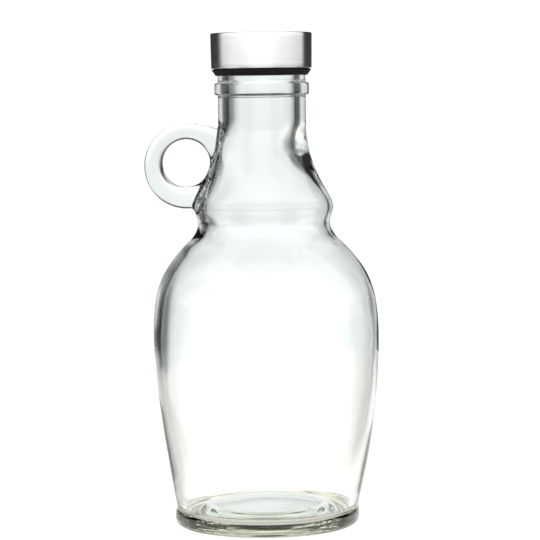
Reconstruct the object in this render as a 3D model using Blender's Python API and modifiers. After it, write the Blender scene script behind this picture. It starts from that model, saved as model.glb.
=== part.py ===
"""Handled glass syrup jug with a steel-capped stopper cap, standing on its base ring.

Frame: metres, +Z up. The jug stands on Z = 0 and its bounding box is centred on X = Y = 0.
The finger loop is on the -X side and lies in the XZ plane.
Run with: blender --background --python part.py
"""

import math

import bmesh
import bpy
from mathutils import Vector

MM = 0.001

# Glass, outer form. Heights are above the table, all in millimetres.
SEGMENTS = 60  # facets round the axis
CONTACT_INNER_R = 25.6  # the flat ring that the jug rests on
HEEL_R = 29.30
HEEL_ROUND = 2.1  # corner radius under the heel
HEEL_TOP = 5.6  # the crease where the heel ring meets the body
HEEL_SHOULDER = 1.6  # how far below the crease the heel ring has its full width
# Stations (height, radius) of the blown body, from the heel crease to the foot of the straight neck.
BODY_STATIONS = (
    (5.6, 28.85),  # crease
    (10.0, 29.70),
    (20.0, 31.60),  # tapered side
    (33.0, 33.65),
    (46.0, 35.10),
    (60.0, 35.73),  # belly, the widest place
    (68.0, 35.35),
    (74.3, 34.30),  # shoulder
    (80.7, 31.70),
    (87.0, 27.05),
    (92.0, 22.30),
    (95.5, 20.85),  # waist under the collar
    (98.3, 21.35),
    (100.7, 22.10),  # collar, where the loop's foot lands
    (103.3, 21.40),
    (109.6, 18.04),  # cone up to the neck
    (114.7, 15.90),
    (119.8, 14.50),
    (125.0, 13.87),
)
NECK_R = 13.87
BEAD_R = 14.95  # transfer bead under the cap
BEAD_BOTTOM = 136.1
BEAD_TOP = 140.1
BEAD_ROUND = 0.8
RIM_TOP = 154.0
RIM_ROUND = 1.0

# Glass, inner form.
BORE_R = 10.2
BORE_FOOT = 125.0  # below this the bore follows the outer form
# Wall thickness (height, thickness) between the floor and the bore.
WALL_STATIONS = (
    (5.8, 2.4),
    (14.0, 2.2),
    (30.0, 1.8),
    (60.0, 1.7),
    (76.0, 1.95),
    (90.0, 3.0),  # thick where the mould turns inwards
    (95.5, 2.45),
    (106.0, 3.3),
    (112.0, 3.3),
    (125.0, 3.67),
)
FLOOR_CORNER_STEPS = 4  # rows that round the inner wall into the floor
# The pushed-up base, inside and underneath: its outer circle, the shoulder it climbs to, and the middle.
FLOOR_PUSH = {"edge": (24.6, 3.4), "shoulder": (18.6, 6.6), "middle": 7.0}
UNDERSIDE_PUSH = {"edge": (24.8, 0.5), "shoulder": (17.8, 3.3), "middle": 3.7}
PUSH_STEPS = 3  # rows up the push's side, and as many again to its middle

# Finger loop: a glass ring round a round hole, sunk into the neck.
HOLE_X = -24.1  # hole centre from the jug's axis
HOLE_Z = 115.0
HOLE_R = 7.45
RING_X = -23.9  # centre of the ring's outer edge, a little low of the hole's
RING_Z = 114.1
RING_R = 13.55
LOOP_HALF_DEPTH = 3.1  # half of the ring's thickness along Y
LOOP_FLARE = 1.5  # how far the ring's upper foot spreads up the neck
LOOP_FLARE_FROM = 75.0  # degrees round the hole from +X, where the spread starts
LOOP_FLARE_TO = 40.0
LOOP_STEPS = 48
LOOP_SIDES = 14
LOOP_SQUARENESS = 2.6  # exponent of the ring's section: 2 is an ellipse, more is squarer

# Cap: a spun steel shell over a dark moulded insert.
SHELL_R = 16.0
SHELL_FOOT_R = 15.85
SHELL_TOP = 155.6
SHELL_FOOT = 144.5
SHELL_WALL = 0.5
SHELL_EDGE = 0.35  # rounding of the shell's upper and lower edges
FIT_GAP = 0.35  # clearance between touching pieces
INSERT_LIP_R = 15.6
INSERT_LIP_EDGE = 0.25  # height of the lip's straight edge, above its chamfer
INSERT_FOOT = 142.3
INSERT_FOOT_WIDTH = 0.35
CHAMFER_BREAK = (0.5, 0.9)  # the chamfer's knee: inwards from the lip, up from the foot
INSERT_WALL_R = SHELL_FOOT_R - SHELL_WALL - FIT_GAP
INSERT_BORE_R = NECK_R + FIT_GAP
INSERT_TOP = SHELL_TOP - SHELL_WALL - FIT_GAP
INSERT_UNDERSIDE = RIM_TOP + FIT_GAP

OUTER_TOLERANCE = 0.08  # how far a facet row may stray from the smooth profile outside
INNER_TOLERANCE = 0.16  # and inside
CURVE_STEP = 0.4  # spacing of the smooth profile before it is thinned
MERGE_DISTANCE = 0.00001  # metres, for the points on the axis
ABOVE_RIM = 2.0  # how far the cavity's cutter reaches past the rim


def clear_scene():
    for old in list(bpy.data.objects):
        bpy.data.objects.remove(old, do_unlink=True)


def smooth_through(stations, at):
    """Value at a height on the cubic that passes through the stations with centred slopes."""
    heights = [s[0] for s in stations]
    values = [s[1] for s in stations]
    last = len(stations) - 1
    at = min(max(at, heights[0]), heights[-1])
    i = max(k for k in range(last) if heights[k] <= at)

    def slope(k):
        if k == 0:
            return (values[1] - values[0]) / (heights[1] - heights[0])
        if k == last:
            return 0.0
        before = (values[k] - values[k - 1]) / (heights[k] - heights[k - 1])
        after = (values[k + 1] - values[k]) / (heights[k + 1] - heights[k])
        if before * after <= 0:
            return 0.0
        share = (heights[k] - heights[k - 1]) / (heights[k + 1] - heights[k - 1])
        return before * (1 - share) + after * share

    span = heights[i + 1] - heights[i]
    t = (at - heights[i]) / span
    return (
        values[i] * (2 * t**3 - 3 * t**2 + 1)
        + slope(i) * span * (t**3 - 2 * t**2 + t)
        + values[i + 1] * (3 * t**2 - 2 * t**3)
        + slope(i + 1) * span * (t**3 - t**2)
    )


def arc(centre_r, centre_z, radius, start, end, steps=5):
    """Points of an arc in the profile plane, angles in degrees from +R towards +Z."""
    points = []
    for i in range(steps + 1):
        angle = math.radians(start + (end - start) * i / steps)
        points.append((centre_r + radius * math.cos(angle), centre_z + radius * math.sin(angle)))
    return points


def thinned(points, tolerance):
    """The fewest of these points whose straight runs stay within the tolerance of the rest."""
    if len(points) < 3:
        return points
    first = Vector(points[0])
    run = Vector(points[-1]) - first
    far, at = 0.0, 0
    for i in range(1, len(points) - 1):
        away = Vector(points[i]) - first
        off = abs(run.x * away.y - run.y * away.x) / max(run.length, 1e-9)
        if off > far:
            far, at = off, i
    if far <= tolerance:
        return [points[0], points[-1]]
    return thinned(points[: at + 1], tolerance)[:-1] + thinned(points[at:], tolerance)


def pushed_up(push):
    """Points of a pushed-up base from its outer circle, up an S-shaped side, to the axis."""
    edge_r, edge_z = push["edge"]
    shoulder_r, shoulder_z = push["shoulder"]
    points = []
    for i in range(PUSH_STEPS + 1):
        t = i / PUSH_STEPS
        climbed = t * t * (3 - 2 * t)
        points.append((edge_r + (shoulder_r - edge_r) * t, edge_z + (shoulder_z - edge_z) * climbed))
    for i in range(1, PUSH_STEPS + 1):
        r = shoulder_r * (1 - i / PUSH_STEPS)
        points.append((r, shoulder_z + (push["middle"] - shoulder_z) * (1 - (r / shoulder_r) ** 2)))
    return points


def heights_between(low, high):
    count = round((high - low) / CURVE_STEP)
    return [low + (high - low) * i / count for i in range(count + 1)]


def body_radius(z):
    return smooth_through(BODY_STATIONS, z)


def outer_profile():
    """The glass as if it were solid, from the axis at the rim down its outside to the axis underneath."""
    rim = [(0.0, RIM_TOP)] + arc(NECK_R - RIM_ROUND, RIM_TOP - RIM_ROUND, RIM_ROUND, 90, 0, 3)
    bead_in = BEAD_R - BEAD_ROUND
    bead = [(NECK_R, BEAD_TOP)]
    bead += arc(bead_in, BEAD_TOP - BEAD_ROUND, BEAD_ROUND, 90, 0, 2)
    bead += arc(bead_in, BEAD_BOTTOM + BEAD_ROUND, BEAD_ROUND, 0, -90, 2)
    bead += [(NECK_R, BEAD_BOTTOM)]
    body = [(body_radius(z), z) for z in heights_between(BODY_STATIONS[0][0], BODY_STATIONS[-1][0])]
    body = thinned(body[::-1], OUTER_TOLERANCE)
    heel = [(HEEL_R, HEEL_TOP - HEEL_SHOULDER)]
    heel += arc(HEEL_R - HEEL_ROUND, HEEL_ROUND, HEEL_ROUND, 0, -90, 4)
    under = [(CONTACT_INNER_R, 0.0)] + pushed_up(UNDERSIDE_PUSH)
    return rim + bead + body + heel + under


def inner_radius(z):
    return body_radius(z) - smooth_through(WALL_STATIONS, z)


def cavity_profile():
    """The hollow, from above the rim down to the axis on the inner floor."""
    above = RIM_TOP + ABOVE_RIM
    bore = [(0.0, above), (BORE_R, above), (BORE_R, BORE_FOOT)]
    low = WALL_STATIONS[0][0]
    wall = [(inner_radius(z), z) for z in heights_between(low, BORE_FOOT)]
    wall = thinned(wall[::-1], INNER_TOLERANCE)[1:]
    wall_foot_r = wall[-1][0]
    corner = []
    valley_r, valley_z = FLOOR_PUSH["edge"]
    for i in range(1, FLOOR_CORNER_STEPS + 1):
        t = i / (FLOOR_CORNER_STEPS + 1) * math.pi / 2
        r = valley_r + (wall_foot_r - valley_r) * math.cos(t)
        corner.append((r, low - (low - valley_z) * math.sin(t)))
    return bore + wall + corner + pushed_up(FLOOR_PUSH)


def turned(name, profile, collection, segments=SEGMENTS):
    """A profile of (radius, height) in millimetres, top to bottom, turned round Z by a Screw."""
    mesh = bpy.data.meshes.new(name)
    rows = [(r * MM, 0.0, z * MM) for r, z in profile]
    mesh.from_pydata(rows, [(i, i + 1) for i in range(len(rows) - 1)], [])
    made = bpy.data.objects.new(name, mesh)
    collection.objects.link(made)
    screw = made.modifiers.new("turn", "SCREW")
    screw.axis = "Z"
    screw.angle = math.tau
    screw.steps = screw.render_steps = segments
    screw.use_merge_vertices = True
    screw.merge_threshold = MERGE_DISTANCE
    screw.use_smooth_shade = True
    return made


def ring_reach(angle):
    """Distance from the hole's centre to the ring's outer edge, in a direction round the hole."""
    along = Vector((math.cos(angle), math.sin(angle)))
    offset = Vector((HOLE_X - RING_X, HOLE_Z - RING_Z))
    across = offset.dot(along)
    reach = -across + math.sqrt(across**2 + RING_R**2 - offset.length_squared)
    turn = math.degrees(angle) % 360
    if turn < LOOP_FLARE_FROM:
        share = min((LOOP_FLARE_FROM - turn) / (LOOP_FLARE_FROM - LOOP_FLARE_TO), 1.0)
        reach += LOOP_FLARE * share * share * (3 - 2 * share)
    return reach


def finger_loop(collection):
    """The ring as a torus whose section is stretched to lie between the hole and the outer edge."""
    middle = (HOLE_R + RING_R) / 2
    tube = (RING_R - HOLE_R) / 2
    bpy.ops.mesh.primitive_torus_add(
        major_radius=middle,
        minor_radius=tube,
        major_segments=LOOP_STEPS,
        minor_segments=LOOP_SIDES,
        rotation=(math.pi / 2, 0, 0),
    )
    loop = bpy.context.object
    loop.name = "loop"
    bpy.ops.object.transform_apply(location=False, rotation=True, scale=False)
    for vertex in loop.data.vertices:
        x, y, z = vertex.co
        angle = math.atan2(z, x)
        outward = (math.hypot(x, z) - middle) / tube
        sideways = y / tube
        # A rounder or squarer section: push the unit circle out to a superellipse.
        stretch = (abs(outward) ** LOOP_SQUARENESS + abs(sideways) ** LOOP_SQUARENESS) ** (
            -1 / LOOP_SQUARENESS
        )
        reach = ring_reach(angle)
        centre = (HOLE_R + reach) / 2
        radial = centre + outward * stretch * (reach - HOLE_R) / 2
        vertex.co = Vector((
            (HOLE_X + radial * math.cos(angle)) * MM,
            sideways * stretch * LOOP_HALF_DEPTH * MM,
            (HOLE_Z + radial * math.sin(angle)) * MM,
        ))
    for user in list(loop.users_collection):
        user.objects.unlink(loop)
    collection.objects.link(loop)
    return loop


def as_cutter(helper):
    helper.hide_render = True
    helper.display_type = "WIRE"
    return helper


def boolean(target, operation, other):
    modifier = target.modifiers.new(operation.lower(), "BOOLEAN")
    modifier.operation = operation
    modifier.object = other
    modifier.solver = "EXACT"


def glass_jug(parts, cutters):
    jug = turned("glass_jug", outer_profile(), parts)
    loop = as_cutter(finger_loop(cutters))
    cavity = as_cutter(turned("cavity", cavity_profile(), cutters))
    boolean(jug, "UNION", loop)
    boolean(jug, "DIFFERENCE", cavity)
    return jug, loop, cavity


def cap_shell(parts):
    """Spun steel: a disc and a slightly tapered skirt with small rolled edges."""
    inner_top = SHELL_TOP - SHELL_WALL
    inner_r = SHELL_R - SHELL_WALL
    inner_foot_r = SHELL_FOOT_R - SHELL_WALL
    outside = [(0.0, SHELL_TOP)] + arc(SHELL_R - SHELL_EDGE, SHELL_TOP - SHELL_EDGE, SHELL_EDGE, 90, 0, 3)
    foot = arc(SHELL_FOOT_R - SHELL_EDGE, SHELL_FOOT + SHELL_EDGE, SHELL_EDGE, 0, -90, 3)
    inside = [(inner_foot_r, SHELL_FOOT), (inner_r, inner_top), (0.0, inner_top)]
    return turned("cap_shell", outside + foot + inside, parts)


def cap_insert(parts):
    """Dark moulded cup inside the shell, with a chamfered lip that shows below the steel."""
    lip_top = SHELL_FOOT - FIT_GAP
    outside = [
        (0.0, INSERT_TOP),
        (INSERT_WALL_R, INSERT_TOP),
        (INSERT_WALL_R, lip_top),
        (INSERT_LIP_R, lip_top),
        (INSERT_LIP_R, lip_top - INSERT_LIP_EDGE),
    ]
    knee_in, knee_up = CHAMFER_BREAK
    chamfer = [(INSERT_LIP_R - knee_in, INSERT_FOOT + knee_up)]
    chamfer += [(INSERT_BORE_R + INSERT_FOOT_WIDTH, INSERT_FOOT)]
    inside = [(INSERT_BORE_R, INSERT_FOOT), (INSERT_BORE_R, INSERT_UNDERSIDE), (0.0, INSERT_UNDERSIDE)]
    return turned("cap_insert", outside + chamfer + inside, parts)


def finish(name, colour, roughness, metallic=0.0, transmission=0.0):
    material = bpy.data.materials.new(name)
    material.use_nodes = True
    shader = material.node_tree.nodes["Principled BSDF"]
    shader.inputs["Base Color"].default_value = (*colour, 1.0)
    shader.inputs["Roughness"].default_value = roughness
    shader.inputs["Metallic"].default_value = metallic
    shader.inputs["Transmission Weight"].default_value = transmission
    shader.inputs["IOR"].default_value = 1.52
    return material


def build():
    clear_scene()
    parts = bpy.data.collections.new("handled_glass_jug")
    cutters = bpy.data.collections.new("cutters")
    for collection in (parts, cutters):
        bpy.context.scene.collection.children.link(collection)

    jug, loop, cavity = glass_jug(parts, cutters)
    shell = cap_shell(parts)
    insert = cap_insert(parts)
    jug.data.materials.append(finish("clear_glass", (0.93, 0.97, 0.95), 0.02, transmission=1.0))
    shell.data.materials.append(finish("brushed_steel", (0.72, 0.71, 0.69), 0.3, metallic=1.0))
    insert.data.materials.append(finish("dark_insert", (0.02, 0.02, 0.022), 0.5))

    # The box is centred on the origin, so the axis sits a little to +X of it.
    belly = max(body_radius(z) for z in heights_between(BODY_STATIONS[0][0], BODY_STATIONS[-1][0]))
    reach = -HOLE_X + ring_reach(math.pi)
    axis = bpy.data.objects.new("jug_axis", None)
    parts.objects.link(axis)
    axis.location.x = (reach - belly) / 2 * MM
    for piece in (jug, loop, cavity, shell, insert):
        piece.parent = axis


build()
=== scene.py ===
import math

import bmesh
import bpy
from mathutils import Euler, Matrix, Vector, kdtree, noise


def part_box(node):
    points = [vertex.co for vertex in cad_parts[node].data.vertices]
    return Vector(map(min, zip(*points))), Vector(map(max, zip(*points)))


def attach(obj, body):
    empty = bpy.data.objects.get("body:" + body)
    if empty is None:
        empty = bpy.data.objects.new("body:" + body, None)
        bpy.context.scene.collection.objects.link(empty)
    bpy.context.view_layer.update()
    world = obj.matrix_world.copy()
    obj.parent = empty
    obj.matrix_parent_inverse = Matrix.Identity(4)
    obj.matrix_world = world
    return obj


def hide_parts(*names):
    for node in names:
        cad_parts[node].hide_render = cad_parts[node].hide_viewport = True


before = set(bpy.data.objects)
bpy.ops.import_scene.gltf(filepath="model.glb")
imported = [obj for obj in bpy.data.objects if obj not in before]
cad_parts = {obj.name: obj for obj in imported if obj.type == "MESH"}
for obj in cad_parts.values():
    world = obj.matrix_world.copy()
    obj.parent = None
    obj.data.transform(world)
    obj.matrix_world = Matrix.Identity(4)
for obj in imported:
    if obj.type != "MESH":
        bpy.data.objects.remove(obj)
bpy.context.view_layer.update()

mm = 0.001  # outlines and curves are given in millimetres, as (radius, height) and (height, value)
capLow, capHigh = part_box("cap_shell")
axisX = (capLow.x + capHigh.x) / 2  # the jug's own axis, which the cap shares
capTop = capHigh.z / mm
print("frame loaded, jug axis at x =", round(axisX / mm, 2), "mm")


def smoothStep(edge0, edge1, value):
    t = min(max((value - edge0) / (edge1 - edge0), 0.0), 1.0)
    return t * t * (3 - 2 * t)


def curveAt(stations, at):
    # value on the cubic through (height, value) stations, flat beyond both ends
    if at <= stations[0][0]:
        return stations[0][1]
    if at >= stations[-1][0]:
        return stations[-1][1]
    i = max(k for k in range(len(stations) - 1) if stations[k][0] <= at)
    (h1, v1), (h2, v2) = stations[i], stations[i + 1]
    before = stations[i - 1] if i > 0 else (2 * h1 - h2, v1)
    after = stations[i + 2] if i + 2 < len(stations) else (2 * h2 - h1, v2)
    slope1 = (v2 - before[1]) / (h2 - before[0])
    slope2 = (after[1] - v1) / (after[0] - h1)
    span = h2 - h1
    t = (at - h1) / span
    return (
        v1 * (2 * t**3 - 3 * t**2 + 1)
        + slope1 * span * (t**3 - 2 * t**2 + t)
        + v2 * (3 * t**2 - 2 * t**3)
        + slope2 * span * (t**3 - t**2)
    )


def arcPoints(centreR, centreZ, radius, start, end, steps):
    points = []
    for i in range(steps + 1):
        angle = math.radians(start + (end - start) * i / steps)
        points.append((centreR + radius * math.cos(angle), centreZ + radius * math.sin(angle)))
    return points


def evenRows(points, spacing):
    # the same outline with points at an even spacing
    rows = [points[0]]
    for (r1, z1), (r2, z2) in zip(points, points[1:]):
        count = max(1, round(math.hypot(r2 - r1, z2 - z1) / spacing))
        for i in range(1, count + 1):
            rows.append((r1 + (r2 - r1) * i / count, z1 + (z2 - z1) * i / count))
    return rows


def relaxed(rows, passes):
    # rounds the kinks out of an outline and keeps its two ends
    for _ in range(passes):
        inner = [
            (0.25 * r1 + 0.5 * r2 + 0.25 * r3, 0.25 * z1 + 0.5 * z2 + 0.25 * z3)
            for (r1, z1), (r2, z2), (r3, z3) in zip(rows, rows[1:], rows[2:])
        ]
        rows = [rows[0]] + inner + [rows[-1]]
    return rows


def turn(mesh, rows, segments, place):
    # sweeps an outline, given from top to bottom, round the axis; place(r, z, angle)
    # gives each point, and a row on the axis is a single one
    angles = [math.tau * i / segments for i in range(segments)]
    rings = []
    for r, z in rows:
        if r < 1e-6:
            rings.append([mesh.verts.new(place(0.0, z, 0.0))])
        else:
            rings.append([mesh.verts.new(place(r, z, angle)) for angle in angles])
    for upper, lower in zip(rings, rings[1:]):
        for i in range(segments):
            j = (i + 1) % segments
            a, b = upper[i % len(upper)], upper[j % len(upper)]
            c, d = lower[j % len(lower)], lower[i % len(lower)]
            corners = [a, d, c, b]
            mesh.faces.new([v for k, v in enumerate(corners) if v not in corners[:k]])
    return rings


def onAxis(r, z, angle):
    return Vector((axisX + r * math.cos(angle) * mm, r * math.sin(angle) * mm, z * mm))


def finished(name, mesh, material=None, sharpFrom=None):
    # an object from a bmesh, smooth but for edges that turn by more than sharpFrom degrees
    data = bpy.data.meshes.new(name)
    bmesh.ops.recalc_face_normals(mesh, faces=mesh.faces)
    mesh.to_mesh(data)
    mesh.free()
    if material:
        data.materials.append(material)
    made = bpy.data.objects.new(name, data)
    bpy.context.scene.collection.objects.link(made)
    data.shade_smooth()
    if sharpFrom:
        data.set_sharp_from_angle(angle=math.radians(sharpFrom))
    return made


class Value:
    # an output socket that can stand in an ordinary expression

    def __init__(self, socket, maker):
        self.socket = socket
        self.maker = maker

    def math(self, operation, *operands):
        return self.maker.node("ShaderNodeMath", {"operation": operation}, operands)

    def __add__(self, other):
        return self.math("ADD", self, other)

    def __sub__(self, other):
        return self.math("SUBTRACT", self, other)

    def __rsub__(self, other):
        return self.math("SUBTRACT", other, self)

    def __mul__(self, other):
        return self.math("MULTIPLY", self, other)

    def __truediv__(self, other):
        return self.math("DIVIDE", self, other)

    def __rtruediv__(self, other):
        return self.math("DIVIDE", other, self)

    def __pow__(self, other):
        return self.math("POWER", self, other)

    def __rpow__(self, other):
        return self.math("POWER", other, self)

    def __neg__(self):
        return self * -1

    def __abs__(self):
        return self.math("ABSOLUTE", self)

    __radd__ = __add__
    __rmul__ = __mul__


class Finish:
    # one material and the nodes in it

    def __init__(self, name):
        self.material = bpy.data.materials.new(name)
        self.material.use_nodes = True
        self.tree = self.material.node_tree
        self.tree.nodes.clear()

    def node(self, kind, settings=None, inputs=(), output=0):
        # adds a node, sets it, then fills its sockets by name or number with values or links
        made = self.tree.nodes.new(kind)
        for key, setting in (settings or {}).items():
            if key == "stops":
                ramp = made.color_ramp
                while len(ramp.elements) < len(setting):
                    ramp.elements.new(0.5)
                for element, (position, colour) in zip(ramp.elements, setting):
                    element.position = position
                    element.color = (*colour, 1.0)
            else:
                setattr(made, key, setting)
        pairs = inputs.items() if isinstance(inputs, dict) else enumerate(inputs)
        for key, given in pairs:
            socket = made.inputs[key]
            if isinstance(given, Value):
                self.tree.links.new(given.socket, socket)
            else:
                socket.default_value = (*given, 1.0) if socket.type == "RGBA" else given
        if len(made.outputs):
            return Value(made.outputs[output], self)

    def where(self):
        return self.node("ShaderNodeTexCoord", output="Object")

    def scaled(self, scale):
        return self.node("ShaderNodeVectorMath", {"operation": "MULTIPLY"}, [self.where(), scale])

    def fromAxis(self):
        # x and y from the jug's axis, and height
        split = self.node("ShaderNodeSeparateXYZ", inputs=[self.where()]).socket.node
        x, y, z = (Value(part, self) for part in split.outputs)
        return x - axisX, y, z

    def noise(self, vector, scale, detail=2.0, roughness=0.5):
        inputs = {"Vector": vector, "Scale": scale, "Detail": detail, "Roughness": roughness}
        return self.node("ShaderNodeTexNoise", {"normalize": True}, inputs)

    def ramp(self, factor, stops):
        return self.node("ShaderNodeValToRGB", {"stops": stops}, [factor])

    def fade(self, value, start, end, low=0.0, high=1.0):
        # eases from low to high as the value goes from start to end
        settings = {"interpolation_type": "SMOOTHSTEP"}
        inputs = {"Value": value, "From Min": start, "From Max": end}
        inputs.update({"To Min": low, "To Max": high})
        return self.node("ShaderNodeMapRange", settings, inputs)

    def between(self, value, rising, falling):
        # 1 between two bounds, easing to 0 on either side
        return self.fade(value, *rising) * self.fade(value, *falling, 1.0, 0.0)

    def mix(self, share, first, second, blend="MIX"):
        # sockets 6 and 7 and output 2 of this node are the ones for colours
        settings = {"data_type": "RGBA", "blend_type": blend, "clamp_factor": False}
        return self.node("ShaderNodeMix", settings, {0: share, 6: first, 7: second}, output=2)

    def grey(self, level):
        return self.node("ShaderNodeCombineColor", inputs=[level, level, level])

    def bump(self, height, strength, distance):
        inputs = {"Height": height, "Strength": strength, "Distance": distance}
        return self.node("ShaderNodeBump", inputs=inputs, output="Normal")

    def surface(self, principled, volume=None):
        outputs = {"Surface": self.node("ShaderNodeBsdfPrincipled", inputs=principled)}
        if volume:
            outputs["Volume"] = volume
        self.node("ShaderNodeOutputMaterial", inputs=outputs)
        return self.material


def distanceOut(x, y):
    return (x * x + y * y) ** 0.5


glass = {
    "segments": 180,
    "rowSpacing": 0.62,
    "innerSpacing": 0.8,
    "rimSpacing": 0.5,
    "creaseSpacing": 0.3,
    "creaseRows": (8, 6),  # rows of the side and of the foot that it takes in
    "weld": 0.002,
    "outerStep": 0.4,  # spacing of the heights at which the outlines are read
    "innerStep": 0.5,
    "outerPasses": 6,  # how often they are eased
    "innerPasses": 4,
    "creasePasses": 5,
    "heelRadius": 29.3,
    "heelTop": 5.6,
    "heelRound": 2.3,
    "heelShoulder": (1.0, 1.25),  # radius of the heel's upper edge, depth of its centre
    "standRadius": 25.6,
    "bodyRadii": [  # (height, radius), heel crease to neck
        (5.6, 28.85),
        (10.0, 29.7),
        (20.0, 31.6),
        (33.0, 33.65),
        (46.0, 35.1),
        (60.0, 35.73),
        (68.0, 35.35),
        (74.3, 34.3),
        (80.7, 31.7),
        (87.0, 27.05),
        (92.0, 22.3),
        (95.5, 20.85),
        (98.3, 21.35),
        (100.7, 22.1),
        (103.3, 21.4),
        (109.6, 18.04),
        (114.7, 15.9),
        (119.8, 14.5),
        (125.0, 13.9),
    ],
    "neckRadius": 13.87,
    "beadRadius": 14.95,
    "beadBottom": 136.1,
    "beadTop": 140.1,
    "beadRound": 0.8,
    "beadFillet": 0.35,
    "rimTop": 153.9,
    "rimRound": 1.0,
    "boreRadius": 10.4,
    "boreFoot": 129.0,
    # the wall's thickness by height, at the front and back
    "wall": [
        (5.8, 2.4),
        (14.0, 2.2),
        (30.0, 1.8),
        (60.0, 1.7),
        (68.0, 1.75),
        (76.0, 1.95),
        (84.0, 2.45),
        (90.0, 3.0),
        (95.5, 2.45),
        (101.0, 3.05),
        (106.0, 3.3),
        (112.0, 3.3),
        (119.0, 3.4),
        (129.0, 3.5),
    ],
    # and on the side away from the loop, thickest below the foot of the neck
    "wallRight": [
        (14.0, 2.2),
        (22.0, 2.0),
        (30.0, 1.82),
        (44.0, 1.7),
        (60.0, 1.65),
        (76.0, 1.8),
        (84.0, 2.1),
        (90.0, 2.2),
        (95.3, 2.0),
        (100.4, 2.1),
        (105.4, 2.35),
        (108.0, 2.6),
        (110.5, 2.9),
        (113.0, 3.4),
        (115.5, 4.0),
        (118.0, 4.6),
        (119.5, 4.8),
        (121.0, 4.7),
        (123.0, 4.3),
        (125.0, 3.9),
        (127.0, 3.6),
        (129.0, 3.5),
    ],
    # and on the loop's side
    "wallLeft": [
        (14.0, 2.2),
        (22.0, 2.0),
        (30.0, 1.82),
        (44.0, 1.78),
        (60.0, 1.9),
        (76.0, 2.3),
        (84.0, 2.7),
        (90.0, 2.9),
        (95.3, 2.75),
        (100.4, 2.95),
        (105.4, 3.25),
        (109.0, 3.1),
        (113.0, 2.7),
        (117.0, 2.25),
        (120.5, 2.1),
        (123.2, 2.4),
        (126.0, 3.0),
        (129.0, 3.5),
    ],
    # pushed-up base, inside and below: outer circle, shoulder, height in the middle
    "floor": ((24.6, 3.4), (18.6, 6.6), 7.0),
    "underside": ((24.8, 0.5), (17.8, 3.3), 3.7),
    # how far the axis drifts towards +X, by height
    "lean": [(0.0, 0.0), (26.0, 0.55), (62.0, 0.35), (92.0, 0.2), (110.0, 0.0)],
    "leanReach": 8.0,  # the drift fades out within this radius
    "waviness": 0.11,  # of the inner wall
    "wavesAround": 1.6,
    "waveLength": 26.0,
    "wavyFrom": (8.0, 16.0),  # heights over which the waves set in
    "wavyTo": (120.0, 130.0),  # and end
    "ior": 1.52,
    "tint": (0.78, 0.87, 0.76),
    "tintDensity": 12.0,
    "rippleScale": 70.0,
    "rippleBump": (0.03, 0.0003),  # strength and distance
}

loop = {
    "holeX": -24.1,
    "holeZ": 115.0,
    "holeRadius": 7.47,
    "outerX": -23.87,
    "outerZ": 114.1,
    "outerRadius": 13.5,
    "halfDepth": 3.15,
    "squareness": 4.5,
    "flare": 1.6,
    "flareTurn": (75.0, 40.0),  # degrees round the ring between which it widens to meet the neck
    "steps": 220,
    "sides": 44,
    "fillet": 1.3,
    "filletReach": (2.2, 3.4),  # true within the first distance, gone at the second
    "seamMerge": 0.15,
    "seamPasses": 12,
    "seamRipple": 0.06,
    "rippleScale": 130.0,
}


def bodyRadius(z):
    return curveAt(glass["bodyRadii"], z)


def pushedUp(push, steps=10):
    # a base pushed up from its outer circle by an S-shaped side to a shallow dome
    (edgeR, edgeZ), (shoulderR, shoulderZ), middle = push
    rows = []
    for i in range(steps + 1):
        r = edgeR + (shoulderR - edgeR) * i / steps
        rows.append((r, edgeZ + (shoulderZ - edgeZ) * smoothStep(edgeR, shoulderR, r)))
    for i in range(1, steps + 1):
        r = shoulderR * (1 - i / steps)
        rows.append((r, shoulderZ + (middle - shoulderZ) * (1 - (r / shoulderR) ** 2)))
    return rows


def heightsDown(high, low, spacing):
    count = round((high - low) / spacing)
    return [high - (high - low) * i / count for i in range(count + 1)]


def jugOutside():
    # from the bore's edge over the rim and down the outside to the middle of the underside
    g = glass
    neck, top = g["neckRadius"], g["rimTop"] - g["rimRound"]
    rim = [(g["boreRadius"] + g["rimRound"], g["rimTop"])]
    rim += arcPoints(neck - g["rimRound"], top, g["rimRound"], 90, 0, 5)
    inward, fillet = g["beadRadius"] - g["beadRound"], g["beadFillet"]
    bead = arcPoints(neck + fillet, g["beadTop"] + fillet, fillet, 180, 270, 3)
    bead += arcPoints(inward, g["beadTop"] - g["beadRound"], g["beadRound"], 90, 0, 6)
    bead += arcPoints(inward, g["beadBottom"] + g["beadRound"], g["beadRound"], 0, -90, 6)
    bead += arcPoints(neck + fillet, g["beadBottom"] - fillet, fillet, 90, 180, 3)
    heights = heightsDown(g["bodyRadii"][-1][0], g["heelTop"], g["outerStep"])
    body = relaxed([(bodyRadius(z), z) for z in heights], g["outerPasses"])
    shoulder, drop = g["heelShoulder"]
    foot = arcPoints(g["heelRadius"] - shoulder, g["heelTop"] - drop, shoulder, 62, 0, 4)
    foot += arcPoints(g["heelRadius"] - g["heelRound"], g["heelRound"], g["heelRound"], 0, -90, 8)
    under = [(g["standRadius"], 0.0)] + pushedUp(g["underside"])
    side = evenRows([rim[-1]] + bead + body, g["rowSpacing"])
    # the last of the side and the first of the foot are eased into a soft crease
    above, below = g["creaseRows"]
    crease = evenRows(side[-above:] + foot[:below], g["creaseSpacing"])
    rows = evenRows(rim, g["rimSpacing"])[:-1] + side[:-above]
    return rows + relaxed(crease, g["creasePasses"]) + foot[below:] + under


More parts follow.
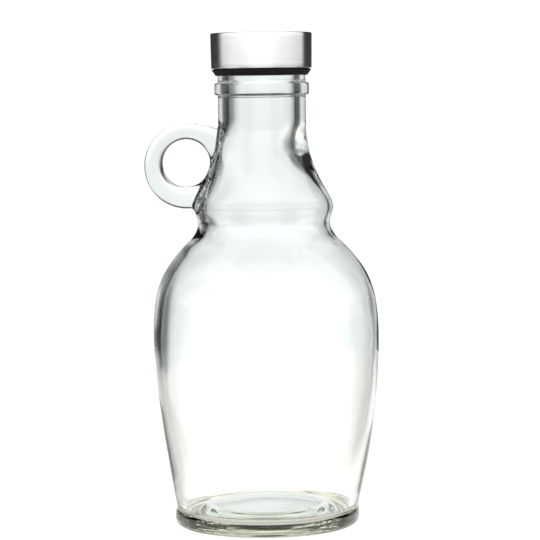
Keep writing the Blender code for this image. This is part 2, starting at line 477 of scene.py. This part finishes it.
def jugInside():
    # from the rim down the bore and the inner wall to the middle of the floor
    g = glass
    bore, rimRound, foot = g["boreRadius"], g["rimRound"], g["wall"][0][0]
    top = [(bore + rimRound, g["rimTop"])]
    top += arcPoints(bore + rimRound, g["rimTop"] - rimRound, rimRound, 90, 180, 5)[1:]
    heights = heightsDown(g["boreFoot"], foot, g["innerStep"])
    wall = [(bodyRadius(z) - curveAt(g["wall"], z), z) for z in heights]
    footR = wall[-1][0]
    valleyR, valleyZ = g["floor"][0]
    corner, steps = [], 12
    for i in range(1, steps):
        t = i / steps * math.pi / 2
        r = valleyR + (footR - valleyR) * math.cos(t)
        corner.append((r, foot - (foot - valleyZ) * math.sin(t)))
    rows = [(bore, g["rimTop"] - rimRound)] + wall + corner + pushedUp(g["floor"])
    return top + relaxed(evenRows(rows, g["innerSpacing"]), g["innerPasses"])[1:]


def outerPoint(r, z, angle):
    shift = curveAt(glass["lean"], z) * smoothStep(0.0, glass["leanReach"], r)
    point = onAxis(r, z, angle)
    point.x += shift * mm
    return point


def innerPoint(r, z, angle):
    # the inner wall is thicker or thinner at the sides than at the front, and a little wavy
    around = glass["wavesAround"]
    spot = Vector((math.cos(angle) * around, math.sin(angle) * around, z / glass["waveLength"]))
    wave = noise.noise(spot) + 0.5 * noise.noise(spot * 2.3 + Vector((7.0, 1.0, 3.0)))
    wavy = smoothStep(*glass["wavyFrom"], z) * (1 - smoothStep(*glass["wavyTo"], z))
    side = glass["wallRight" if math.cos(angle) > 0 else "wallLeft"]
    extra = 0.0
    if side[0][0] < z < side[-1][0]:
        extra = (curveAt(side, z) - curveAt(glass["wall"], z)) * math.cos(angle) ** 2
    return outerPoint(r - extra - glass["waviness"] * wave * wavy, z, angle)


def ringReach(angle):
    # from the hole's centre to the ring's outer edge
    dx, dz = loop["holeX"] - loop["outerX"], loop["holeZ"] - loop["outerZ"]
    across = dx * math.cos(angle) + dz * math.sin(angle)
    reach = -across + math.sqrt(across**2 + loop["outerRadius"] ** 2 - dx**2 - dz**2)
    return reach + loop["flare"] * smoothStep(*loop["flareTurn"], math.degrees(angle) % 360)


def loopSolid():
    mesh = bmesh.new()
    steps, sides, power = loop["steps"], loop["sides"], loop["squareness"]
    rings = []
    for i in range(steps):
        angle = math.tau * i / steps
        reach, hole = ringReach(angle), loop["holeRadius"]
        ring = []
        for k in range(sides):
            turnAngle = math.tau * k / sides
            c, s = math.cos(turnAngle), math.sin(turnAngle)
            stretch = (abs(c) ** power + abs(s) ** power) ** (-1 / power)
            radial = (hole + reach) / 2 + c * stretch * (reach - hole) / 2
            depth = s * stretch * loop["halfDepth"]
            x = loop["holeX"] + radial * math.cos(angle)
            z = loop["holeZ"] + radial * math.sin(angle)
            ring.append(mesh.verts.new((axisX + x * mm, depth * mm, z * mm)))
        rings.append(ring)
    for i in range(steps):
        here, there = rings[i], rings[(i + 1) % steps]
        for k in range(sides):
            n = (k + 1) % sides
            mesh.faces.new([here[k], here[n], there[n], there[k]])
    return finished("loopSolid", mesh)


def fused(outside, ring):
    # one skin of both, with material 1 left on the ring's faces
    union = outside.modifiers.new("fuse", "BOOLEAN")
    union.operation = "UNION"
    union.solver = "EXACT"
    union.material_mode = "TRANSFER"
    union.object = ring
    outside.data.materials.append(bpy.data.materials.new("bodyMark"))
    ring.data.materials.append(bpy.data.materials.new("ringMark"))
    evaluated = outside.evaluated_get(bpy.context.evaluated_depsgraph_get())
    data = bpy.data.meshes.new_from_object(evaluated)
    mesh = bmesh.new()
    mesh.from_mesh(data)
    for used in (outside, ring):
        bpy.data.objects.remove(used)
    return mesh


def bodyDistance(point):
    # from the body's own surface, negative inside
    z = point.z / mm
    x = (point.x - axisX) / mm - curveAt(glass["lean"], z)
    return math.hypot(x, point.y / mm) - bodyRadius(z)


def ringDistance(point):
    # and from the ring's
    x, z = (point.x - axisX) / mm - loop["holeX"], point.z / mm - loop["holeZ"]
    hole, reach = loop["holeRadius"], ringReach(math.atan2(z, x) % math.tau)
    half, power = (reach - hole) / 2, loop["squareness"]
    across = abs(math.hypot(x, z) - hole - half) / half
    deep = abs(point.y / mm) / loop["halfDepth"]
    return ((across**power + deep**power) ** (1 / power) - 1) * min(half, loop["halfDepth"])


def meltedDistance(point):
    # from the skin that blends loop and body into one
    first, second = bodyDistance(point), ringDistance(point)
    blend = loop["fillet"]
    share = min(max(0.5 + 0.5 * (second - first) / blend, 0.0), 1.0)
    return second + (first - second) * share - blend * share * (1 - share)


def melted(point):
    # the point moved onto that skin, which is a little uneven
    uneven = noise.noise(point * loop["rippleScale"]) * loop["seamRipple"]
    step = 0.01 * mm
    for _ in range(3):
        value = meltedDistance(point) - uneven
        slope = Vector()
        for axis in range(3):
            beside = point.copy()
            beside[axis] += step
            slope[axis] = (meltedDistance(beside) - uneven - value) / step
        point = point - slope * value / max(slope.length_squared, 1e-9)
    return point


def seamVerts(mesh):
    # where the loop's faces meet the body's
    edges = [e for e in mesh.edges if len({f.material_index for f in e.link_faces}) == 2]
    return {v for e in edges for v in e.verts}


def splitLargeFaces(mesh):
    bmesh.ops.triangulate(mesh, faces=[f for f in mesh.faces if len(f.verts) > 4])


def softenSeam(mesh):
    # melts the crease between loop and neck into a small uneven fillet
    splitLargeFaces(mesh)
    bmesh.ops.remove_doubles(mesh, verts=list(seamVerts(mesh)), dist=loop["seamMerge"] * mm)
    seam = seamVerts(mesh)
    tree = kdtree.KDTree(len(seam))
    for index, vertex in enumerate(seam):
        tree.insert(vertex.co, index)
    tree.balance()
    full, reach = (r * mm for r in loop["filletReach"])
    close = {v for v in mesh.verts if tree.find(v.co)[2] < full}
    finer = [e for e in mesh.edges if e.verts[0] in close and e.verts[1] in close]
    bmesh.ops.subdivide_edges(mesh, edges=finer, cuts=1, use_grid_fill=True)
    splitLargeFaces(mesh)
    near = []
    for vertex in mesh.verts:
        distance = tree.find(vertex.co)[2]
        if distance < reach:
            near.append((vertex, 1 - smoothStep(full, reach, distance)))
    for _ in range(loop["seamPasses"]):
        moves = []
        for vertex, share in near:
            around = [e.other_vert(vertex).co for e in vertex.link_edges]
            middle = sum(around, Vector()) / len(around)
            point = melted(vertex.co.lerp(middle, 0.5 * share))
            moves.append((vertex, vertex.co.lerp(point, share)))
        for vertex, co in moves:
            vertex.co = co
    print("seam softened over", len(near), "points")


def isLid(face):
    # the one face that closes the bore while the outside is a solid
    level = abs(face.calc_center_median().z - glass["rimTop"] * mm) < 1e-6 and face.normal.z > 0.9
    return level and len(face.verts) > 8


def glassJug():
    body = bmesh.new()
    rings = turn(body, jugOutside(), glass["segments"], outerPoint)
    body.faces.new(rings[0])
    mesh = fused(finished("outsideSolid", body), loopSolid())
    bmesh.ops.delete(mesh, geom=[f for f in mesh.faces if isLid(f)], context="FACES_ONLY")
    softenSeam(mesh)
    turn(mesh, jugInside(), glass["segments"], innerPoint)
    bmesh.ops.remove_doubles(mesh, verts=mesh.verts, dist=glass["weld"] * mm)
    for face in mesh.faces:
        face.material_index = 0
    openEdges = sum(1 for e in mesh.edges if len(e.link_faces) != 2)
    print("glass:", len(mesh.faces), "faces,", openEdges, "open edges")
    return finished("glassJug", mesh, clearGlass())


# the heel's painted shade: a darker, yellower colour crossed by dark streak lines that stand in
# for dark surroundings seen through it, with its radii and heights in metres
heel = {
    "colour": (0.78, 0.76, 0.62),
    "radii": (0.0255, 0.027),
    "top": (0.005, 0.006),
    # painted shade: colour of the dark streak lines
    "paintedStreakShade": (0.012, 0.009, 0.003),
    "streakFoot": (0.002, 0.003),
    "streakTop": (0.004, 0.005),
    "streakScale": (75.0, 75.0, 1000.0),
    "streakDetail": 3.0,
    "streakRoughness": 0.6,
    "streakFade": (0.46, 0.58),
    "front": (-0.02, -0.027),  # y over which the painted dark streak lines grow more
    "frontMore": 0.1,
}


def clearGlass():
    f = Finish("clearGlass")
    ripple = f.noise(f.where(), glass["rippleScale"], 1.0)
    x, y, z = f.fromAxis()
    # painted shade: the heel is painted darker and yellower, and crossed by painted dark drawn-out
    # streak lines that lie level
    rim = f.fade(distanceOut(x, y), *heel["radii"])
    band = rim * f.between(z, heel["streakFoot"], heel["streakTop"])
    drawnOut = f.scaled(heel["streakScale"])
    grainAndStreakNoise = f.noise(drawnOut, 1.0, heel["streakDetail"], heel["streakRoughness"])
    more = f.fade(y, *heel["front"]) * heel["frontMore"]
    paintedShadeStreaks = f.fade(grainAndStreakNoise + more, *heel["streakFade"])
    paintedHeelShade = f.mix(rim * f.fade(z, *heel["top"], 1.0, 0.0), (1.0, 1.0, 1.0), heel["colour"])
    absorbed = {"Color": glass["tint"], "Density": glass["tintDensity"]}
    return f.surface(
        {
            # the base colour carries the painted heel shade and its painted dark streak lines
            "Base Color": f.mix(paintedShadeStreaks * band, paintedHeelShade, heel["paintedStreakShade"]),
            "Roughness": 0.0,
            "IOR": glass["ior"],
            "Transmission Weight": 1.0,
            "Normal": f.bump(ripple, *glass["rippleBump"]),
        },
        f.node("ShaderNodeVolumeAbsorption", inputs=absorbed),
    )


cap = {
    "radius": 16.0,
    "footRadius": 15.85,
    "foot": 144.5,
    "footRound": 0.2,
    "wall": 0.5,
    "edge": 0.35,
    "innerCorner": 0.3,
    "topRadii": (0.0, 5.0, 10.0, 14.0),
    "underRadii": (8.0, 0.0),
    "rowSpacing": 1.2,
    "segments": 160,
}


def capShell():
    # from the middle of the top down the side and up again inside
    c = cap
    edge, corner, bend = c["edge"], c["innerCorner"], c["footRound"]
    outside = [(r, capTop) for r in c["topRadii"]]
    outside += arcPoints(c["radius"] - edge, capTop - edge, edge, 90, 0, 6)
    side = [outside[-1], (c["footRadius"], c["foot"] + bend)]
    outside += evenRows(side, c["rowSpacing"])[1:]
    outside += arcPoints(c["footRadius"] - bend, c["foot"] + bend, bend, 0, -90, 4)[1:]
    inner, under = c["radius"] - c["wall"], capTop - c["wall"]
    inside = [(c["footRadius"] - c["wall"], c["foot"]), (inner, under - corner)]
    inside += [(inner - corner, under)] + [(r, under) for r in c["underRadii"]]
    mesh = bmesh.new()
    turn(mesh, outside + inside, c["segments"], onAxis)
    return finished("steelCap", mesh, brushedSteel(), 50)


steel = {
    "alongLines": 40.0,  # scale of the brush lines along and across them
    "acrossLines": 9000.0,
    "lineDetail": 3.0,
    "lineRoughness": 0.65,
    "blotchScale": (60.0, 60.0, 160.0),
    "lineShare": 0.6,  # of the lines in the colour; the rest is blotches
    "dark": (0.86, 0.85, 0.845),
    "light": (0.95, 0.94, 0.93),
    "roughness": 0.2,
    "lineRoughening": 0.16,
    "anisotropic": 0.85,
    "turned": 0.25,
    "bump": (0.08, 0.0001),  # strength and distance
}


def brushedSteel():
    f = Finish("brushedSteel")
    s = steel
    x, y, z = f.fromAxis()
    # brush lines run round the cap on its side and in rings on its top
    along, across = s["alongLines"], s["acrossLines"]
    stretched = [x * along, y * along, (z + distanceOut(x, y)) * across]
    where = f.node("ShaderNodeCombineXYZ", inputs=stretched)
    lines = f.noise(where, 1.0, s["lineDetail"], s["lineRoughness"])
    blotches = f.noise(f.scaled(s["blotchScale"]), 1.0, 2.0)
    tone = lines * s["lineShare"] + blotches * (1 - s["lineShare"])
    return f.surface(
        {
            "Base Color": f.ramp(tone, [(0.3, s["dark"]), (0.7, s["light"])]),
            "Metallic": 1.0,
            "Roughness": s["roughness"] + lines * s["lineRoughening"],
            "Anisotropic": s["anisotropic"],
            "Anisotropic Rotation": s["turned"],
            "Normal": f.bump(lines, *s["bump"]),
        }
    )


insert = {
    "wallRadius": 15.0,
    "top": 154.75,
    "topEdge": 0.3,
    "underside": 154.35,
    "lipRadius": 15.6,
    "lipTop": 144.25,
    "lipSide": 0.4,  # depth of the lip's upright side
    "slope": (0.5, 0.9),  # turn of the slope under the lip: inward, and above the foot
    "foot": 142.3,
    "footInset": 1.1,
    "bore": 14.2,
    "edge": 0.1,
    "colour": (0.006, 0.005, 0.005),
    "specular": 0.15,
    "grainScale": 2500.0,
    "roughness": 0.5,
    "grainRoughening": 0.2,
    "grainBump": (0.1, 0.0001),
}


def capInsert():
    i = insert
    wall, lip, bore, edge = i["wallRadius"], i["lipRadius"], i["bore"], i["edge"]
    inward, above = i["slope"]
    rows = [
        (0.0, i["top"]),
        (wall - i["topEdge"], i["top"]),
        (wall, i["top"] - i["topEdge"]),
        (wall, i["lipTop"]),
        (lip - edge, i["lipTop"]),
        (lip, i["lipTop"] - edge),
        (lip, i["lipTop"] - i["lipSide"]),
        (lip - inward, i["foot"] + above),
        (lip - i["footInset"], i["foot"]),
        (bore + edge, i["foot"]),
        (bore, i["foot"] + edge),
        (bore, i["underside"]),
        (0.0, i["underside"]),
    ]
    mesh = bmesh.new()
    turn(mesh, rows, cap["segments"], onAxis)
    return finished("darkInsert", mesh, darkPlastic(), 35)


def darkPlastic():
    f = Finish("darkInsert")
    grainAndStreakNoise = f.noise(f.where(), insert["grainScale"], 2.0)
    return f.surface(
        {
            "Base Color": insert["colour"],
            "Roughness": insert["roughness"] + grainAndStreakNoise * insert["grainRoughening"],
            "Specular IOR Level": insert["specular"],
            "Normal": f.bump(grainAndStreakNoise, *insert["grainBump"]),
        }
    )


# lengths of the studio are in metres, and bearings in degrees right of straight behind the jug
studio = {
    "white": 1.05,  # level of the floor and the surround that the camera sees
    "floorReach": 4.0,
    "surroundRadius": 3.9,
    "wallRadius": 0.49,
    "mirroredRadius": 0.48,
    "wallFoot": -0.02,
    "wallTop": 0.9,
    "wallSides": 96,
    "backLow": (1.17, 1.24, 1.21),  # colour of the light behind the jug at the table
    "backHigh": (0.885, 0.94, 0.93),  # and above it
    "backTurn": (0.0, 0.118),  # heights between which one gives way to the other
    # brightness as (bearing, level), by the table and higher up
    "lowLevels": [
        (-60, 0.02),
        (-24, 0.02),
        (-20, 0.03),
        (-18, 0.1),
        (-16, 0.42),
        (-14, 0.78),
        (-12, 0.93),
        (-5, 1.0),
        (6, 1.0),
        (10, 0.94),
        (18, 0.97),
        (22, 0.9),
        (26, 0.7),
        (30, 0.5),
        (34, 0.35),
        (38, 0.15),
        (42, 0.05),
        (60, 0.02),
    ],
    "highLevels": [
        (-60, 0.02),
        (-45, 0.04),
        (-36, 0.08),
        (-28, 0.18),
        (-22, 0.43),
        (-17, 0.75),
        (-12, 0.92),
        (-4, 1.0),
        (6, 1.0),
        (10, 0.95),
        (20, 0.95),
        (25, 0.85),
        (30, 0.65),
        (34, 0.4),
        (38, 0.15),
        (42, 0.04),
        (60, 0.02),
    ],
    "levelReach": 60,  # bearing at the ends of both lists
    "levelTurn": (0.06, 0.12),  # heights between which the first gives way to the second
    "backTop": (0.23, 0.34),  # heights over which the light behind ends
    "aboveBack": 0.03,
    # the light round the sides and the front, by degrees away from straight behind
    "roundStart": (78.0, 94.0),
    "roundLevel": 0.85,
    "roundDim": ((112.0, 126.0), (144.0, 158.0)),  # a dimmer strip: its two sides
    "roundDimming": 0.6,
    # what is mirrored: light in front on either side, where it sets in and its slow rise
    "leftFront": (65.0, 87.0),
    "leftRise": (85.0, 150.0, 0.7, 1.0),
    "rightFront": (66.0, 76.0),
    "rightRise": (85.0, 160.0, 0.68, 1.0),
    "frontStrength": 1.8,
    "frontFoot": (0.1, 0.16),  # heights over which it sets in
    "mirroredBehind": (7.0, 16.0, 0.95, 0.02),  # light straight behind, falling off sideways
    "mirroredLeast": 0.02,
    # the table, and where its light ebbs: from where to where, from what share to what
    "tableReach": 0.49,
    "tableHeight": -0.0005,
    "tableColour": (1.4, 1.39, 1.34),
    "ebbRight": (8.0, 30.0, 1.0, 0.82),  # by bearing
    "ebbLeft": (0.005, 0.042, 1.0, 0.5),  # by distance past a slanting line left of the jug
    "ebbLeftSlant": 0.25,
    "ebbFarRight": (0.055, 0.085, 1.0, 0.12),  # and past another to its right
    "ebbFarRightSlant": 0.54,
    "ebbEnd": (70.0, 94.0),  # degrees away from straight behind over which all this ends
    "tableRound": (0.05, 0.12),  # radii over which the level of the sides and the front sets in
    "tableEdge": (0.36, 0.49),  # radii over which the table takes on the brightness of the wall
    "underJug": (0.0255, 0.0325, 0.6, 1.0),  # painted shadow below the jug, by radius
    "standRing": ((0.0235, 0.0255), (0.029, 0.0325)),  # radii of the painted shadow ring under the ring that it stands on
    "standShade": 0.3,
    "ceilingReach": 0.5,
    "darkCeiling": (0.9, 0.2),  # height and level
    "lightCeiling": (0.89, 0.8),
    "roomLevel": 0.02,
    "bounces": 24,
    "glossyBounces": 12,
}


def emitter(f, colour, strength=1.0):
    light = f.node("ShaderNodeEmission", inputs={"Color": colour, "Strength": strength})
    f.node("ShaderNodeOutputMaterial", inputs={"Surface": light})
    return f.material


def seenBy(thing, camera=False, glass=False, gloss=False, diffuse=False):
    thing.visible_camera = camera
    thing.visible_transmission = glass
    thing.visible_glossy = gloss
    thing.visible_diffuse = diffuse
    thing.visible_shadow = False
    thing.visible_volume_scatter = False


def sheet(name, reach, height, material):
    mesh = bmesh.new()
    corners = [(-reach, -reach), (reach, -reach), (reach, reach), (-reach, reach)]
    mesh.faces.new([mesh.verts.new((x, y, height)) for x, y in corners])
    return finished(name, mesh, material)


def roundWall(name, radius, material):
    mesh = bmesh.new()
    top, foot = studio["wallTop"] / mm, studio["wallFoot"] / mm
    turn(mesh, [(radius / mm, top), (radius / mm, foot)], studio["wallSides"], onAxis)
    return finished(name, mesh, material)


def bearingOf(x, y):
    return x.math("ARCTAN2", x, y) * math.degrees(1)


def levelRamp(f, bearing, key):
    span = 2 * studio["levelReach"]
    stops = [(at / span + 0.5, (level,) * 3) for at, level in studio[key]]
    return f.ramp(bearing / span + 0.5, stops)


def roundLight(f, away):
    # the light from the sides and the front, with a dimmer strip on either side that draws
    # the glass's outline for whoever looks from behind
    strip = f.between(away, *studio["roundDim"])
    return (1 - strip * studio["roundDimming"]) * studio["roundLevel"]


def tentWall():
    # what shines through the glass; its brightness goes by the bearing from the jug
    s = studio
    f = Finish("tentLight")
    x, y, z = f.fromAxis()
    bearing = bearingOf(x, y)
    away = abs(bearing)
    colour = f.mix(f.fade(z, *s["backTurn"]), s["backLow"], s["backHigh"])
    low, high = levelRamp(f, bearing, "lowLevels"), levelRamp(f, bearing, "highLevels")
    levels = f.mix(f.fade(z, *s["levelTurn"]), low, high)
    levels = f.mix(f.fade(away, *s["roundStart"]), levels, f.grey(roundLight(f, away)))
    levels = f.mix(f.fade(z, *s["backTop"]), levels, (s["aboveBack"],) * 3)
    glow = f.node("ShaderNodeVectorMath", {"operation": "MULTIPLY"}, [colour, levels])
    return roundWall("tentWall", s["wallRadius"], emitter(f, glow))


def mirroredLight():
    # what steel and glass mirror: dark sides, with light straight behind and high up in front
    s = studio
    f = Finish("mirroredLight")
    x, y, z = f.fromAxis()
    bearing = bearingOf(x, y)
    left = f.fade(-bearing, *s["leftFront"]) * f.fade(-bearing, *s["leftRise"])
    right = f.fade(bearing, *s["rightFront"]) * f.fade(bearing, *s["rightRise"])
    front = (left + right) * s["frontStrength"] * f.fade(z, *s["frontFoot"])
    behind = f.fade(abs(bearing), *s["mirroredBehind"]) * f.fade(z, *s["backTop"], 1.0, 0.0)
    glow = f.grey(front + behind + s["mirroredLeast"])
    return roundWall("mirroredLight", s["mirroredRadius"], emitter(f, glow))


def tableTop():
    # a glowing sheet for white paper: bright behind the jug, less so to the sides, and with a
    # painted shadow below it
    s = studio
    f = Finish("tableLight")
    x, y, _ = f.fromAxis()
    bearing, radius = bearingOf(x, y), distanceOut(x, y)
    away = abs(bearing)
    level = f.fade(bearing, *s["ebbRight"])
    level = level * f.fade(-x - y * s["ebbLeftSlant"], *s["ebbLeft"])
    level = level * f.fade(x - y * s["ebbFarRightSlant"], *s["ebbFarRight"])
    ahead = f.fade(away, *s["ebbEnd"])
    level = level + (1 - level) * ahead
    level = level * (1 - (1 - roundLight(f, away)) * f.fade(radius, *s["tableRound"]))
    # painted shadow under the jug, deeper under the ring it stands on
    ring = f.between(radius, *s["standRing"])
    shade = f.fade(radius, *s["underJug"]) * (1 - ring * s["standShade"])
    near = f.mix(1.0, f.grey(level * shade), s["tableColour"], "MULTIPLY")
    levels = f.mix(ahead, levelRamp(f, bearing, "lowLevels"), f.grey(roundLight(f, away)))
    far = f.node("ShaderNodeVectorMath", {"operation": "MULTIPLY"}, [levels, s["backLow"]])
    colour = f.mix(f.fade(radius, *s["tableEdge"]), near, far)
    return sheet("tableTop", s["tableReach"], s["tableHeight"], emitter(f, colour))


def ceiling(name):
    height, level = studio[name]
    return sheet(name, studio["ceilingReach"], height, emitter(Finish(name), (level,) * 3))


def buildStudio():
    # the camera sees a wide white floor and a white surround
    paper = emitter(Finish("paperWhite"), (1, 1, 1), studio["white"])
    ball = bmesh.new()
    bmesh.ops.create_icosphere(ball, subdivisions=4, radius=studio["surroundRadius"])
    seenBy(sheet("floor", studio["floorReach"], 0.0, paper), camera=True)
    seenBy(finished("surround", ball, paper), camera=True)
    # the jug and its cap are lit by a tent with dark gaps in it
    seenBy(tentWall(), glass=True)
    seenBy(mirroredLight(), gloss=True, diffuse=True)
    seenBy(tableTop(), glass=True, gloss=True, diffuse=True)
    seenBy(ceiling("darkCeiling"), glass=True)
    seenBy(ceiling("lightCeiling"), gloss=True, diffuse=True)

    scene = bpy.context.scene
    room = bpy.data.worlds.new("darkRoom")
    room.use_nodes = True
    background, level = room.node_tree.nodes["Background"], studio["roomLevel"]
    background.inputs["Color"].default_value = (level, level, level, 1)
    scene.world = room
    scene.view_settings.view_transform = "Standard"
    scene.cycles.max_bounces = studio["bounces"]
    scene.cycles.transmission_bounces = studio["bounces"]
    scene.cycles.glossy_bounces = studio["glossyBounces"]
    scene.cycles.caustics_reflective = False
    scene.cycles.caustics_refractive = False


view = {
    "distance": 735.0,  # millimetres in front of the jug's axis
    "height": 136.0,  # and above the table
    "side": 1.84,  # and to the right
    "pitch": 4.3,  # degrees downward
    "roll": 0.785,
    "focalPixels": 2324.0,  # focal length in pixels of a frame this many wide
    "imagePixels": 540.0,
    "sensor": 36.0,
}


def buildCamera():
    data = bpy.data.cameras.new("camera")
    data.sensor_width = view["sensor"]
    data.lens = view["focalPixels"] / view["imagePixels"] * data.sensor_width
    camera = bpy.data.objects.new("camera", data)
    bpy.context.scene.collection.objects.link(camera)
    across, back, up = view["side"] * mm, view["distance"] * mm, view["height"] * mm
    camera.location = (axisX + across, -back, up)
    tilt = Euler((math.radians(90 - view["pitch"]), 0, 0)).to_matrix()
    spin = Euler((0, 0, -math.radians(view["roll"]))).to_matrix()
    camera.rotation_euler = (tilt @ spin).to_euler()
    bpy.context.scene.camera = camera


jug = glassJug()
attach(jug, "root")
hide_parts("glass_jug")
print("glass jug built")

shell = capShell()
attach(shell, "root")
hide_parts("cap_shell")
darkInsert = capInsert()
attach(darkInsert, "root")
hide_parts("cap_insert")
print("cap built")

buildStudio()
buildCamera()
print("studio and camera set")
